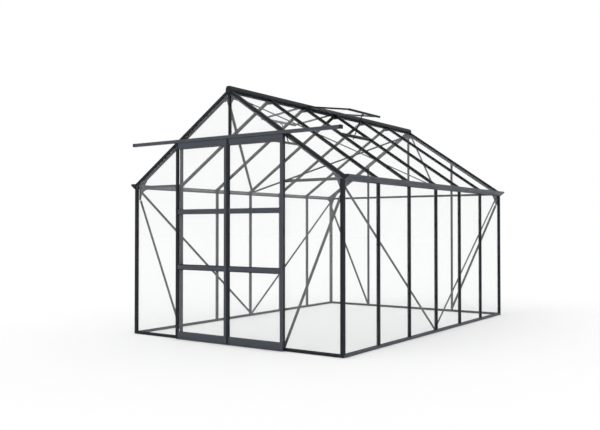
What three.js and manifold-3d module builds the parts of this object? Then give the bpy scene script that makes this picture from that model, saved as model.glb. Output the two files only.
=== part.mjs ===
// A free-standing walk-in greenhouse: aluminium glazing bars, glass walls and roof, two sliding doors in the
// front gable, and a hinged vent on each roof slope. Millimetres, +Z up. The ridge runs along Y and the doors
// face -Y. The origin is on the ground, at the centre of the whole object's box.
import * as THREE from 'three';
import { mergeVertices } from 'three/addons/utils/BufferGeometryUtils.js';
import Module from 'manifold-3d';

const wasm = await Module();
wasm.setup();

// ---- Driving dimensions ----
const PANE_WIDTH = 610; // standard horticultural glass, 24 inches
const BAR_PITCH = PANE_WIDTH + 12; // glazing bar to glazing bar
const BAYS_LONG = 6;
const WALL_GLASS_X = 1240; // mid-plane of the side glass
const GABLE_GLASS_Y = 1856; // mid-plane of the gable glass
const APEX_GLASS_Z = 2372; // where the roof glass mid-planes would meet
const ROOF_SLOPE = 0.68; // fall per unit of width
const GLASS = 3;
const GAP = 0.3; // between pieces that touch
const BITE = 1; // how far the joined sections of one piece run into each other
const PAST = 1; // how far a cut runs past the face it opens
const SLOPE_CLEARANCE = 0.5; // between sloping pieces that pass each other

// Glazing bar, measured outward from the mid-plane of the glass
const SLOT = GLASS / 2 + GAP;
const BAR_WIDTH = 20;
const WEB_WIDTH = 6;
const CAP_OUT = 20;
const CAP_IN = 14;
const FLANGE_OUT = -8;
const FLANGE_IN = -11.7;

// Corner posts, rakes and the plates on them
const EDGE_OUT = 22; // outer face of the posts and rakes
const POST_WIDTH = 28;
const POST_WALL = 2;
const RAKE_FACE_DEPTH = 28;
const RAKE_FACE_LOW = CAP_OUT - RAKE_FACE_DEPTH; // lower edge of its face, across the roof slope
const RAKE_INNER_EDGE = -30; // lower edge of the rake's back plate, across the roof slope
const RAKE_PLATE = 4;
const BACK_PLATE = { out: -6, in: -12 };
const GUSSET_IN = -15.3;
const GUSSET_LAP = 2; // how far a gusset reaches over the rake's back plate
const GUSSET_LIP = 8; // depth of a gusset's tips below the rake
const EAVES_GUSSET = {
  outer: WALL_GLASS_X - 2.3, rakeX: 1120, tip: 10, bottom: 1372, width: 22, bend: [1196, 1480],
};
const APEX_GUSSET = { reach: 78, tip: 6, crown: 8, foot: 16, bottom: 2266, bend: [26, 2310] };

// Heights
const BASE_HEIGHT = 21;
const FOOT_TOP = 25; // top of the solid foot of each gable bar and wall bar
const WALL_GLASS_TOP = 1489.5;
const GABLE_GLASS_PEAK = 2338;
const GABLE_GLASS_DROP = 0.4; // its sloping edges, below the roof glass slot
// Crossbar above the doorway
const HEAD = { bottom: 1862, sill: 1884, top: 1900, front: 14, back: 9, slot: 3 };
const TIE = { z: 1507, half: 13, depth: 15, wall: 2 }; // channel at eaves height, open inward
const RIDGE_BOTTOM = 2352;
const RIDGE_TOP = 2420;
const CLEAT_BOTTOM = 2328; // ridge cleat that joins opposite roof bars under the ridge
const CLEAT = { inner: 6, outer: 30, plate: 24 }; // distances from the ridge line
const ROOF_BAR_START = 3; // distance from the ridge line to the roof bars and rakes
const RIDGE_BLOCK = 24; // their solid upper ends reach this far
const BAR_JOINT_OUT = -10; // where the wall bars and cleats run into the roof bars
const BAR_TOP_LIMIT = RIDGE_BOTTOM - 2; // the gable's centre bar stops below the ridge
const RIDGE = { web: 2.5, wall: 4, crown: 20, skirt: 32, skirtTop: 2393 };

// Eaves gutter
const EAVES_X = 1262;
const GUTTER_LIP_X = 1317;
const GUTTER_BOTTOM = 1490;
const GUTTER_TOP = 1540;
const GUTTER_HALF_LENGTH = 1880;
const GUTTER = { wall: 2.5, flat: 4, lip: 6, backTop: 1507 };
const ROOF_GLASS_OVERHANG = 12; // past the eaves, over the gutter
const ROOF_GLASS_INSET = 4; // its ends, inside the gable glass

// Base frame of channels open inward, and the lip that guides the doors' lower edges
const BASE = { x: EAVES_X + 2, y: GUTTER_HALF_LENGTH, width: 38, wall: 3 };
const GUIDE = { half: 640, front: 1901, back: 1898, floor: 2, top: 13 };

// Sliding doors
const DOOR_WIDTH = 649;
const DOOR_MEETING_GAP = 1; // from each door to the middle of the doorway
const DOOR_BOTTOM = 3;
const DOOR_TOP = 1920;
const DOOR_FRONT = 1911;
const DOOR_BACK = 1893;
const STILE = 29;
const RAILS = [[3, 74], [680, 730], [1222, 1266], [1861, 1920]]; // bottom and top of each door rail
const DOOR_WALL = 2.5;
const TRACK_HALF = 1240;
const TRACK = { front: 1916, back: 1878.3, bottom: 1922, top: 1953, wall: 2.5 };
const TRACK_SLOT = { front: 1909, back: 1897 };
const GROOVE = { front: 1904, back: 1895, top: 17 }; // in each door's lower edge, over the guide
const DOOR_PANE = { margin: 5, bottom: 20, top: 1905 };
const ROLLER = { radius: 11, inset: 90, front: 1900.5, back: 1886.5 }; // inset from each edge of the door
const AXLE = { radius: 3, front: 1902, back: 1885.5 };
const HANGER = { half: 15, front: 1904.5, back: 1901.5, root: 30, foot: 6, above: 8 };
const TRACK_STOP = { length: 18, proud: 2, tick: 1.5 };
const RUNNING_CLEARANCE = 0.1;

// Roof vents, one on each slope in the same bay
const VENT_BAY = [-BAR_PITCH, 0];
const VENT_HINGE = { x: 44, z: 2388 };
const VENT_DROP_DEG = 8.1; // fall below level, as it stands open
const VENT_LENGTH = 543;
const VENT_OVERLAP_Y = 11.5; // how far the frame reaches over each bar's centre line
const VENT_SILL = { from: 552, to: 575, in: -12, out: 24, wall: 3 }; // along and across the roof slope
const VENT = { head: -3, low: -8, high: 9, rail: 25, stile: 20, wall: 2.5, seat: 0.7 };
const VENT_PANE = { head: 5, tail: 3, side: 4 };
const VENT_LUG = { back: 9, into: 5, near: 5, far: 2, below: 8 }; // carries the stay's pivot
const PIN = { near: 3, far: 3.5 }; // ends of the stay's pivot pin, each side of the bay's middle
const NOTCH = { depth: 20, below: 2, side: 5 }; // opening cut in the roof glass under each vent
const STAY = {
  along: 500, across: -22, length: 278, heel: 6, leanDeg: 23.5, width: 12, thick: 3, offset: 1.7,
};

// Flat braces
const BRACE_WIDTH = 27;
const BRACE_THICK = 3;
const BRACE_FOOT_Z = 36;
const GABLE_BRACE = { topX: 1213, topZ: 1358, footX: BAR_PITCH + 4 };
const WALL_BRACE = { topY: 1831, topZ: 1462, footY: 12 };
const ROOF_BRACE = { ridgeAlong: 80, ridgeY: 1825, eavesAlong: 1470, eavesY: 12 };

// ---- Colours ----
const COAT = 0x2b3038;
const SATIN_STEEL = 0x3a3e44;
const GLASS_TINT = 0xdde8e8;
const NYLON = 0x18191b;

// ---- Solids ----
function toManifold(geometry) {
  const bare = geometry.clone();
  bare.deleteAttribute('normal');
  bare.deleteAttribute('uv');
  const merged = mergeVertices(bare, 1e-4);
  return new wasm.Manifold(new wasm.Mesh({
    numProp: 3,
    vertProperties: new Float32Array(merged.attributes.position.array),
    triVerts: new Uint32Array(merged.index.array),
  }));
}

function toGeometry(manifold) {
  const mesh = manifold.getMesh();
  const geometry = new THREE.BufferGeometry();
  geometry.setAttribute('position', new THREE.BufferAttribute(new Float32Array(mesh.vertProperties), 3));
  geometry.setIndex(new THREE.BufferAttribute(new Uint32Array(mesh.triVerts), 1));
  geometry.computeVertexNormals();
  return geometry;
}

function join(parts) {
  return parts.reduce((whole, part) => whole.add(part));
}

// A prism of an outline drawn square to one axis. The outline's points are (y, z) for 'x', (x, z) for 'y'
// and (x, y) for 'z'.
const PLANES = {
  x: new THREE.Matrix4().makeBasis(
    new THREE.Vector3(0, 1, 0), new THREE.Vector3(0, 0, 1), new THREE.Vector3(1, 0, 0)),
  y: new THREE.Matrix4().makeBasis(
    new THREE.Vector3(1, 0, 0), new THREE.Vector3(0, 0, 1), new THREE.Vector3(0, -1, 0)),
  z: new THREE.Matrix4(),
};

function outlineShape(points) {
  return new THREE.Shape(points.map(([a, b]) => new THREE.Vector2(a, b)));
}

function shapePrism(shape, axis, from, to) {
  const low = Math.min(from, to);
  const high = Math.max(from, to);
  const options = { depth: high - low, bevelEnabled: false, curveSegments: 10 };
  const geometry = new THREE.ExtrudeGeometry(shape, options);
  geometry.applyMatrix4(PLANES[axis]);
  const start = axis === 'y' ? high : low;
  geometry.translate(axis === 'x' ? start : 0, axis === 'y' ? start : 0, axis === 'z' ? start : 0);
  return toManifold(geometry);
}

function prism(points, axis, from, to) {
  return shapePrism(outlineShape(points), axis, from, to);
}

function block(x, y, z) {
  const geometry = new THREE.BoxGeometry(
    Math.abs(x[1] - x[0]), Math.abs(y[1] - y[0]), Math.abs(z[1] - z[0]));
  geometry.translate((x[0] + x[1]) / 2, (y[0] + y[1]) / 2, (z[0] + z[1]) / 2);
  return toManifold(geometry);
}

function cylinderAlongY(radius, x, z, y) {
  const geometry = new THREE.CylinderGeometry(radius, radius, Math.abs(y[1] - y[0]), 24);
  geometry.translate(x, (y[0] + y[1]) / 2, z);
  return toManifold(geometry);
}

// A flat bar between two points of a plane, square to the given axis
function flatBar(start, end, width, axis, from, to) {
  const along = new THREE.Vector2(end[0] - start[0], end[1] - start[1]).normalize();
  const side = [-along.y * width / 2, along.x * width / 2];
  return prism([
    [start[0] + side[0], start[1] + side[1]],
    [start[0] - side[0], start[1] - side[1]],
    [end[0] - side[0], end[1] - side[1]],
    [end[0] + side[0], end[1] + side[1]],
  ], axis, from, to);
}

// ---- Roof geometry ----
const SLOPE_LENGTHENING = Math.hypot(1, ROOF_SLOPE);
const ROOF_ANGLE = Math.atan(ROOF_SLOPE);

// Height of the plane that lies `out` above the roof glass, square to it
function roofZ(x, out) {
  return APEX_GLASS_Z - Math.abs(x) * ROOF_SLOPE + out * SLOPE_LENGTHENING;
}

// The point `along` down the slope from the apex and `out` above the glass, on one side of the ridge
function slopePoint(side, along, out) {
  return [
    side * (along * Math.cos(ROOF_ANGLE) + out * Math.sin(ROOF_ANGLE)),
    APEX_GLASS_Z - along * Math.sin(ROOF_ANGLE) + out * Math.cos(ROOF_ANGLE),
  ];
}

// A strip of one roof slope between two widths, cut plumb at both ends, as an outline in (x, z)
function rafterStrip(side, x, out) {
  return [
    [side * x[0], roofZ(x[0], out[0])],
    [side * x[1], roofZ(x[1], out[0])],
    [side * x[1], roofZ(x[1], out[1])],
    [side * x[0], roofZ(x[0], out[1])],
  ];
}

// ---- Parts ----
const greenhouse = new THREE.Group();

function place(name, manifold, color, look = {}) {
  const material = new THREE.MeshStandardMaterial({ color, roughness: 0.5, metalness: 0.6, ...look });
  const mesh = new THREE.Mesh(toGeometry(manifold), material);
  mesh.name = name;
  greenhouse.add(mesh);
  return mesh;
}

function placeGlass(name, manifold) {
  const look = { roughness: 0.05, metalness: 0, transparent: true, opacity: 0.3 };
  return place(name, manifold, GLASS_TINT, look);
}

const SIDES = [['left', -1], ['right', 1]];
const ENDS = [['front', -1], ['rear', 1]];

// The four base rails and the lip that the doors' bottom edges run on
function makeBaseFrame() {
  const { x, y, width, wall } = BASE;
  const ring = block([-x, x], [-y, y], [0, BASE_HEIGHT])
    .subtract(block([width - x, x - width], [width - y, y - width], [-PAST, BASE_HEIGHT + PAST]));
  const channel = block([wall - x, x - wall], [wall - y, y - wall], [wall, BASE_HEIGHT - wall]);
  const { half, front, back, floor, top } = GUIDE;
  const guide = prism([
    [BITE - y, 0], [BITE - y, floor], [-back, floor], [-back, top], [-front, top], [-front, 0],
  ], 'x', -half, half);
  place('base_frame', ring.subtract(channel).add(guide), COAT);
}

function makeCornerPosts() {
  const top = roofZ(EAVES_X, RAKE_FACE_LOW) - 2 * GAP;
  const outerX = EAVES_X;
  const outerY = GABLE_GLASS_Y + EDGE_OUT;
  for (const [endName, end] of ENDS) {
    for (const [sideName, side] of SIDES) {
      const xs = [side * (outerX - POST_WIDTH), side * outerX];
      const ys = [end * (outerY - POST_WIDTH + GAP), end * outerY];
      const hollowX = [xs[0] + side * POST_WALL, xs[1] - side * POST_WALL];
      const hollowY = [ys[0] + end * POST_WALL, ys[1] - end * POST_WALL];
      const tube = block(xs, ys, [BASE_HEIGHT + GAP, top])
        .subtract(block(hollowX, hollowY, [BASE_HEIGHT - PAST, top + PAST]));
      place(`corner_post_${endName}_${sideName}`, tube, COAT);
    }
  }
}

// Two wall bars and two roof bars at one place along the ridge, joined by their ridge cleat
function makeHoop(name, y) {
  const parts = [];
  const sections = [
    [FLANGE_IN, FLANGE_OUT, BAR_WIDTH],
    [FLANGE_OUT - BITE, -SLOT, WEB_WIDTH],
    [SLOT, CAP_IN + BITE, WEB_WIDTH],
    [CAP_IN, CAP_OUT, BAR_WIDTH],
  ];
  const half = BAR_WIDTH / 2;
  for (const side of [-1, 1]) {
    for (const [low, high, width] of sections) {
      const ys = [y - width / 2, y + width / 2];
      const x0 = side * (WALL_GLASS_X + low);
      const x1 = side * (WALL_GLASS_X + high);
      const z0 = BASE_HEIGHT + GAP;
      const top = (x) => roofZ(x, BAR_JOINT_OUT);
      parts.push(prism([[x0, z0], [x1, z0], [x1, top(x1)], [x0, top(x0)]], 'y', ...ys));
      parts.push(prism(rafterStrip(side, [ROOF_BAR_START, EAVES_X], [low, high]), 'y', ...ys));
    }
    const foot = [side * (WALL_GLASS_X + FLANGE_IN), side * (WALL_GLASS_X + CAP_OUT)];
    parts.push(block(foot, [y - half, y + half], [BASE_HEIGHT + GAP, FOOT_TOP]));
    const upperEnd = rafterStrip(side, [ROOF_BAR_START, RIDGE_BLOCK], [FLANGE_OUT - BITE, CAP_IN + BITE]);
    parts.push(prism(upperEnd, 'y', y - half, y + half));
    parts.push(prism([
      [side * CLEAT.inner, CLEAT_BOTTOM], [side * CLEAT.outer, CLEAT_BOTTOM],
      [side * CLEAT.outer, roofZ(CLEAT.outer, BAR_JOINT_OUT)],
      [side * CLEAT.inner, roofZ(CLEAT.inner, BAR_JOINT_OUT)],
    ], 'y', y - half, y + half));
  }
  parts.push(block([-CLEAT.plate, CLEAT.plate], [y - half, y + half], [CLEAT_BOTTOM, RIDGE_BOTTOM - GAP]));
  place(name, join(parts), COAT);
}

function makeGutter(name, side) {
  const { wall, flat, lip, backTop } = GUTTER;
  const back = EAVES_X + GAP;
  const outline = [
    [back, GUTTER_BOTTOM],
    [back + flat, GUTTER_BOTTOM],
    [GUTTER_LIP_X, GUTTER_TOP - lip],
    [GUTTER_LIP_X, GUTTER_TOP],
    [GUTTER_LIP_X - wall, GUTTER_TOP],
    [GUTTER_LIP_X - wall, GUTTER_TOP - lip + 1],
    [back + wall, GUTTER_BOTTOM + wall],
    [back + wall, backTop],
    [back, backTop],
  ].map(([x, z]) => [side * x, z]);
  place(name, prism(outline, 'y', -GUTTER_HALF_LENGTH, GUTTER_HALF_LENGTH), COAT);
}

function makeRidge() {
  const { web, wall, crown, skirt, skirtTop } = RIDGE;
  const under = (x) => roofZ(x, CAP_OUT + SLOPE_CLEARANCE);
  const right = [
    [web, RIDGE_BOTTOM],
    [web, RIDGE_TOP - wall],
    [crown - 2.4, RIDGE_TOP - wall],
    [skirt - wall, skirtTop - 2],
    [skirt - wall, under(skirt - wall)],
    [skirt, under(skirt)],
    [skirt, skirtTop],
    [crown, RIDGE_TOP],
  ];
  const left = right.map(([x, z]) => [-x, z]).reverse();
  place('ridge_beam', prism([...right, ...left], 'y', -GUTTER_HALF_LENGTH, GUTTER_HALF_LENGTH), COAT);
}

// Both rakes of one gable with the gusset plates that join them to each other and to the posts
function makeGableArch(name, end) {
  const at = (out) => end * (GABLE_GLASS_Y + out);
  const gussetEdge = RAKE_INNER_EDGE + GUSSET_LAP;
  const lipEdge = RAKE_INNER_EDGE - GUSSET_LIP;
  const parts = [];
  for (const side of [-1, 1]) {
    const full = [ROOF_BAR_START, EAVES_X];
    const strips = [
      [full, [RAKE_FACE_LOW, CAP_OUT], [EDGE_OUT - RAKE_PLATE, EDGE_OUT]],
      [full, [CAP_OUT - RAKE_PLATE, CAP_OUT], [BACK_PLATE.in, EDGE_OUT]],
      [full, [RAKE_INNER_EDGE, -SLOT], [BACK_PLATE.in, BACK_PLATE.out]],
      [[ROOF_BAR_START, RIDGE_BLOCK], [-SLOT - BITE, CAP_OUT - BITE], [BACK_PLATE.in, EDGE_OUT]],
    ];
    for (const [x, out, depth] of strips) {
      parts.push(prism(rafterStrip(side, x, out), 'y', at(depth[0]), at(depth[1])));
    }
    // Eaves gusset, with a hollow inner edge between the rake and the post
    const { outer, rakeX, tip, bottom, width, bend } = EAVES_GUSSET;
    const eaves = new THREE.Shape();
    eaves.moveTo(side * outer, bottom);
    eaves.lineTo(side * outer, roofZ(outer, gussetEdge));
    eaves.lineTo(side * rakeX, roofZ(rakeX, gussetEdge));
    eaves.lineTo(side * (rakeX + tip), roofZ(rakeX + tip, lipEdge));
    eaves.quadraticCurveTo(side * bend[0], bend[1], side * (outer - width), bottom);
    parts.push(shapePrism(eaves, 'y', at(GUSSET_IN), at(BACK_PLATE.in)));
  }
  // Apex gusset, under the ridge
  const { reach, tip, crown, foot, bottom, bend } = APEX_GUSSET;
  const apex = new THREE.Shape();
  apex.moveTo(-reach, roofZ(reach, gussetEdge));
  apex.lineTo(-crown, roofZ(crown, gussetEdge));
  apex.lineTo(crown, roofZ(crown, gussetEdge));
  apex.lineTo(reach, roofZ(reach, gussetEdge));
  apex.lineTo(reach - tip, roofZ(reach - tip, lipEdge));
  apex.quadraticCurveTo(bend[0], bend[1], foot, bottom);
  apex.lineTo(-foot, bottom);
  apex.quadraticCurveTo(-bend[0], bend[1], tip - reach, roofZ(reach - tip, lipEdge));
  parts.push(shapePrism(apex, 'y', at(GUSSET_IN), at(BACK_PLATE.in)));
  place(name, join(parts), COAT);
}

// An upright gable bar, from `bottom` to the rake above it. The glass runs through its slot, and the bridges
// join its inner and outer halves above or below the glass.
function makeGableBar(name, end, x, bottom, bridges) {
  const at = (out) => end * (GABLE_GLASS_Y + out);
  const rakeUnder = RAKE_FACE_LOW - SLOPE_CLEARANCE;
  const innerTop = RAKE_INNER_EDGE - SLOPE_CLEARANCE;
  const sections = [
    [FLANGE_IN, FLANGE_OUT, BAR_WIDTH, innerTop],
    [FLANGE_OUT - BITE, -SLOT, WEB_WIDTH, innerTop],
    [SLOT, CAP_IN + BITE, WEB_WIDTH, rakeUnder],
    [CAP_IN, EDGE_OUT - RAKE_PLATE - GAP, BAR_WIDTH, rakeUnder],
  ];
  const parts = sections.map(([low, high, width, under]) => {
    const [x0, x1] = [x - width / 2, x + width / 2];
    const top = (across) => Math.min(roofZ(across, under), BAR_TOP_LIMIT);
    return prism([[x0, bottom], [x1, bottom], [x1, top(x1)], [x0, top(x0)]], 'y', at(low), at(high));
  });
  for (const { width, out, z } of bridges) {
    parts.push(block([x - width / 2, x + width / 2], out.map(at), z));
  }
  place(name, join(parts), COAT);
}

// The crossbar above the doorway, a channel that holds the lower edge of the glass over the doors
function makeDoorHead() {
  const half = BAR_PITCH - BAR_WIDTH / 2 - GAP;
  const centre = -GABLE_GLASS_Y;
  const { bottom, sill, top, front, back, slot } = HEAD;
  const outline = [
    [centre - front, bottom], [centre + back, bottom], [centre + back, top], [centre + slot, top],
    [centre + slot, sill], [centre - slot, sill], [centre - slot, top], [centre - front, top],
  ];
  place('door_head', prism(outline, 'x', -half, half), COAT);
}

function makeTie(name, end, x) {
  const { z, half, depth, wall } = TIE;
  const near = GABLE_GLASS_Y + GUSSET_IN;
  const outer = block(x, [end * (near - GAP), end * (near - depth)], [z - half, z + half]);
  const hollow = block(
    [x[0] - PAST, x[1] + PAST],
    [end * (near - GAP - wall), end * (near - depth - PAST)],
    [z - half + wall, z + half - wall]);
  place(name, outer.subtract(hollow), COAT);
}

function makeGableBrace(name, end, side) {
  const outer = GABLE_GLASS_Y + BACK_PLATE.in - GAP;
  const top = [side * GABLE_BRACE.topX, GABLE_BRACE.topZ];
  const lower = [side * GABLE_BRACE.footX, BRACE_FOOT_Z];
  place(name, flatBar(top, lower, BRACE_WIDTH, 'y', end * outer, end * (outer - BRACE_THICK)), SATIN_STEEL);
}

function makeWallBrace(name, side, end) {
  const inner = WALL_GLASS_X + FLANGE_IN - GAP;
  const xs = [side * (inner - BRACE_THICK), side * inner];
  const top = [end * WALL_BRACE.topY, WALL_BRACE.topZ];
  const lower = [end * WALL_BRACE.footY, BRACE_FOOT_Z];
  place(name, flatBar(top, lower, BRACE_WIDTH, 'x', ...xs), SATIN_STEEL);
}

// A flat brace under one roof slope, from an end of the ridge down to the middle of the eaves
function makeRoofBrace(name, side, end) {
  const { ridgeAlong, ridgeY, eavesAlong, eavesY } = ROOF_BRACE;
  const top = [ridgeAlong, end * ridgeY];
  const lower = [eavesAlong, end * eavesY];
  const bar = flatBar(top, lower, BRACE_WIDTH, 'z', -BRACE_THICK, 0);
  const brace = place(name, bar, SATIN_STEEL);
  const [x, z] = slopePoint(side, 0, FLANGE_IN - GAP);
  brace.position.set(x, 0, z);
  brace.rotation.set(0, ROOF_ANGLE, 0);
  if (side < 0) {
    const turn = new THREE.Group();
    turn.rotation.z = Math.PI;
    turn.add(brace);
    brace.position.set(-x, 0, z);
    greenhouse.add(turn);
  }
}

function makeVentSill(name, side) {
  const { from, to, in: low, out: high, wall } = VENT_SILL;
  const outline = [
    slopePoint(side, from, low), slopePoint(side, from + wall, low),
    slopePoint(side, from + wall, high - wall),
    slopePoint(side, to, high - wall), slopePoint(side, to, high), slopePoint(side, from, high),
  ];
  const ends = [VENT_BAY[0] + BAR_WIDTH / 2 + GAP, VENT_BAY[1] - BAR_WIDTH / 2 - GAP];
  place(name, prism(outline, 'y', ...ends), COAT);
}

function makeGlass() {
  const halfGlass = GLASS / 2;
  for (const [name, side] of SIDES) {
    const xs = [side * (WALL_GLASS_X - halfGlass), side * (WALL_GLASS_X + halfGlass)];
    const half = GABLE_GLASS_Y + EDGE_OUT - POST_WIDTH;
    placeGlass(`side_glass_${name}`, block(xs, [-half, half], [FOOT_TOP + SLOPE_CLEARANCE, WALL_GLASS_TOP]));

    const sheetHalf = GABLE_GLASS_Y - ROOF_GLASS_INSET;
    const across = [RIDGE_BLOCK + SLOPE_CLEARANCE, EAVES_X + ROOF_GLASS_OVERHANG];
    const sheet = prism(rafterStrip(side, across, [-halfGlass, halfGlass]), 'y', -sheetHalf, sheetHalf);
    const { depth, below, side: margin } = NOTCH;
    const notch = prism([
      slopePoint(side, 0, -depth), slopePoint(side, VENT_SILL.to + below, -depth),
      slopePoint(side, VENT_SILL.to + below, depth), slopePoint(side, 0, depth),
    ], 'y', VENT_BAY[0] + margin, VENT_BAY[1] - margin);
    placeGlass(`roof_glass_${name}`, sheet.subtract(notch));
  }
  const edge = EAVES_X - POST_WIDTH - GAP;
  const under = -SLOT - GABLE_GLASS_DROP;
  const peakX = (roofZ(0, under) - GABLE_GLASS_PEAK) / ROOF_SLOPE;
  const outline = [
    [-edge, FOOT_TOP + SLOPE_CLEARANCE], [edge, FOOT_TOP + SLOPE_CLEARANCE], [edge, roofZ(edge, under)],
    [peakX, GABLE_GLASS_PEAK], [-peakX, GABLE_GLASS_PEAK], [-edge, roofZ(edge, under)],
  ];
  const depth = [GABLE_GLASS_Y - halfGlass, GABLE_GLASS_Y + halfGlass];
  placeGlass('rear_glass', prism(outline, 'y', ...depth));
  const doorway = block(
    [NOTCH.side - BAR_PITCH, BAR_PITCH - NOTCH.side],
    [-depth[1] - PAST, -depth[0] + PAST],
    [0, HEAD.sill + 1]);
  placeGlass('front_glass', prism(outline, 'y', -depth[0], -depth[1]).subtract(doorway));
}

// The doors' top track: a channel open below, with a stop at each end
function makeDoorTrack() {
  const { front, back, bottom, top, wall } = TRACK;
  const outline = [
    [-TRACK_SLOT.front, bottom], [-front, bottom], [-front, top], [-back, top], [-back, bottom],
    [-TRACK_SLOT.back, bottom], [-TRACK_SLOT.back, bottom + wall], [-back - wall, bottom + wall],
    [-back - wall, top - wall], [-front + wall, top - wall], [-front + wall, bottom + wall],
    [-TRACK_SLOT.front, bottom + wall],
  ];
  const parts = [prism(outline, 'x', -TRACK_HALF, TRACK_HALF)];
  for (const side of [-1, 1]) {
    const { length, proud, tick } = TRACK_STOP;
    const across = [side * (TRACK_HALF - BITE), side * (TRACK_HALF + length)];
    parts.push(block(across, [-front - proud, -back], [bottom - tick, top + tick]));
  }
  place('door_track', join(parts), COAT);
}

// The outline of a door frame in (x, z): its rails and stiles, made thinner by `inset`
function doorShape(x0, x1, inset) {
  const rect = (left, right, low, high) => [[left, low], [right, low], [right, high], [left, high]];
  const shape = outlineShape(rect(x0 + inset, x1 - inset, DOOR_BOTTOM + inset, DOOR_TOP - inset));
  for (let i = 0; i < RAILS.length - 1; i += 1) {
    const window = rect(x0 + STILE - inset, x1 - STILE + inset, RAILS[i][1] - inset, RAILS[i + 1][0] + inset);
    shape.holes.push(outlineShape(window));
  }
  return shape;
}

function makeDoor(name, side) {
  const inner = side * DOOR_MEETING_GAP;
  const outer = side * (DOOR_WIDTH + DOOR_MEETING_GAP);
  const x0 = Math.min(inner, outer);
  const x1 = Math.max(inner, outer);
  const rollerZ = TRACK.bottom + TRACK.wall + GAP + ROLLER.radius;
  const rollers = [['outer', outer - side * ROLLER.inset], ['inner', inner + side * ROLLER.inset]];

  const solid = shapePrism(doorShape(x0, x1, 0), 'y', -DOOR_FRONT, -DOOR_BACK);
  const hollow = shapePrism(doorShape(x0, x1, DOOR_WALL), 'y', DOOR_WALL - DOOR_FRONT, PAST - DOOR_BACK);
  const groove = block([x0 - PAST, x1 + PAST], [-GROOVE.front, -GROOVE.back], [0, GROOVE.top]);
  let frame = solid.subtract(hollow).subtract(groove);
  for (const [, x] of rollers) {
    const { half, front, back, root, foot, above } = HANGER;
    const across = [x - half, x + half];
    frame = frame
      .add(block(across, [-front, -back], [DOOR_TOP - root, rollerZ + above]))
      .add(block(across, [BITE - DOOR_FRONT, -back], [DOOR_TOP - root, DOOR_TOP - root + foot]))
      .add(cylinderAlongY(AXLE.radius, x, rollerZ, [-AXLE.front, -AXLE.back]));
  }
  place(`${name}_door_frame`, frame, COAT);

  const { margin, bottom, top } = DOOR_PANE;
  const paneFront = GAP - DOOR_BACK;
  const pane = block([x0 + margin, x1 - margin], [paneFront, paneFront + GLASS], [bottom, top]);
  placeGlass(`${name}_door_glass`, pane);

  for (const [where, x] of rollers) {
    const boreY = [-ROLLER.front - PAST, -ROLLER.back + PAST];
    const bore = cylinderAlongY(AXLE.radius + RUNNING_CLEARANCE, x, rollerZ, boreY);
    const wheel = cylinderAlongY(ROLLER.radius, x, rollerZ, [-ROLLER.front, -ROLLER.back]).subtract(bore);
    place(`${name}_door_roller_${where}`, wheel, NYLON, { metalness: 0 });
  }
}

// A vent in its own frame: x down the vent from the hinge, y along the ridge, z out of the roof.
// It is turned about the ridge line into its open position.
function makeVent(name, side) {
  const vent = new THREE.Group();
  const ys = [VENT_BAY[0] - VENT_OVERLAP_Y, VENT_BAY[1] + VENT_OVERLAP_Y];
  const mid = (VENT_BAY[0] + VENT_BAY[1]) / 2;
  const { head, low, high, rail, stile, wall, seat } = VENT;
  const underGlass = low - GAP - GLASS;
  const tail = VENT_LENGTH - rail; // upper edge of the lower rail

  const window = block([head + rail, tail], [ys[0] + stile, ys[1] - stile], [low - PAST, high + PAST]);
  const pocket = block([head + wall, tail - 2], [ys[0] + wall, ys[1] - wall], [low - PAST, high - wall]);
  const windowWalls = block(
    [head + rail - wall, tail + wall], [ys[0] + stile - wall, ys[1] - stile + wall], [low - 2 * PAST, high]);
  const pivot = [STAY.along, STAY.across];
  const lugY = [mid - VENT_LUG.near, mid - VENT_LUG.far];
  const lugZ = [pivot[1] - VENT_LUG.below, underGlass - seat / 2];
  const frame = block([head, VENT_LENGTH], ys, [low, high])
    .subtract(pocket.subtract(windowWalls))
    .subtract(window)
    .add(block([tail, VENT_LENGTH], ys, [underGlass - seat, high]))
    .add(block([pivot[0] - VENT_LUG.back, tail + VENT_LUG.into], lugY, lugZ))
    .add(cylinderAlongY(AXLE.radius, pivot[0], pivot[1], [mid - PIN.near, mid + PIN.far]));
  const paneX = [head + VENT_PANE.head, tail - VENT_PANE.tail];
  const paneY = [ys[0] + VENT_PANE.side, ys[1] - VENT_PANE.side];
  const glass = block(paneX, paneY, [underGlass, low - GAP]);

  const lean = THREE.MathUtils.degToRad(90 + STAY.leanDeg - VENT_DROP_DEG);
  const direction = [Math.cos(lean), -Math.sin(lean)];
  const stayFoot = [pivot[0] + direction[0] * STAY.length, pivot[1] + direction[1] * STAY.length];
  const heel = [pivot[0] - direction[0] * STAY.heel, pivot[1] - direction[1] * STAY.heel];
  const bore = cylinderAlongY(AXLE.radius + RUNNING_CLEARANCE, ...pivot, [mid - PIN.near, mid + PIN.near]);
  const stay = flatBar(heel, stayFoot, STAY.width, 'y', mid - STAY.offset, mid - STAY.offset + STAY.thick)
    .subtract(bore);

  vent.add(place(`${name}_vent_frame`, frame, COAT));
  vent.add(placeGlass(`${name}_vent_glass`, glass));
  vent.add(place(`${name}_vent_stay`, stay, SATIN_STEEL));
  vent.position.set(VENT_HINGE.x, 0, VENT_HINGE.z);
  vent.rotation.y = THREE.MathUtils.degToRad(VENT_DROP_DEG);
  if (side > 0) {
    greenhouse.add(vent);
    return;
  }
  // The left vent is the right one turned half round about the bay's own centre line
  const turn = new THREE.Group();
  turn.position.y = VENT_BAY[0] + VENT_BAY[1];
  turn.rotation.z = Math.PI;
  turn.add(vent);
  greenhouse.add(turn);
}

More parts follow.
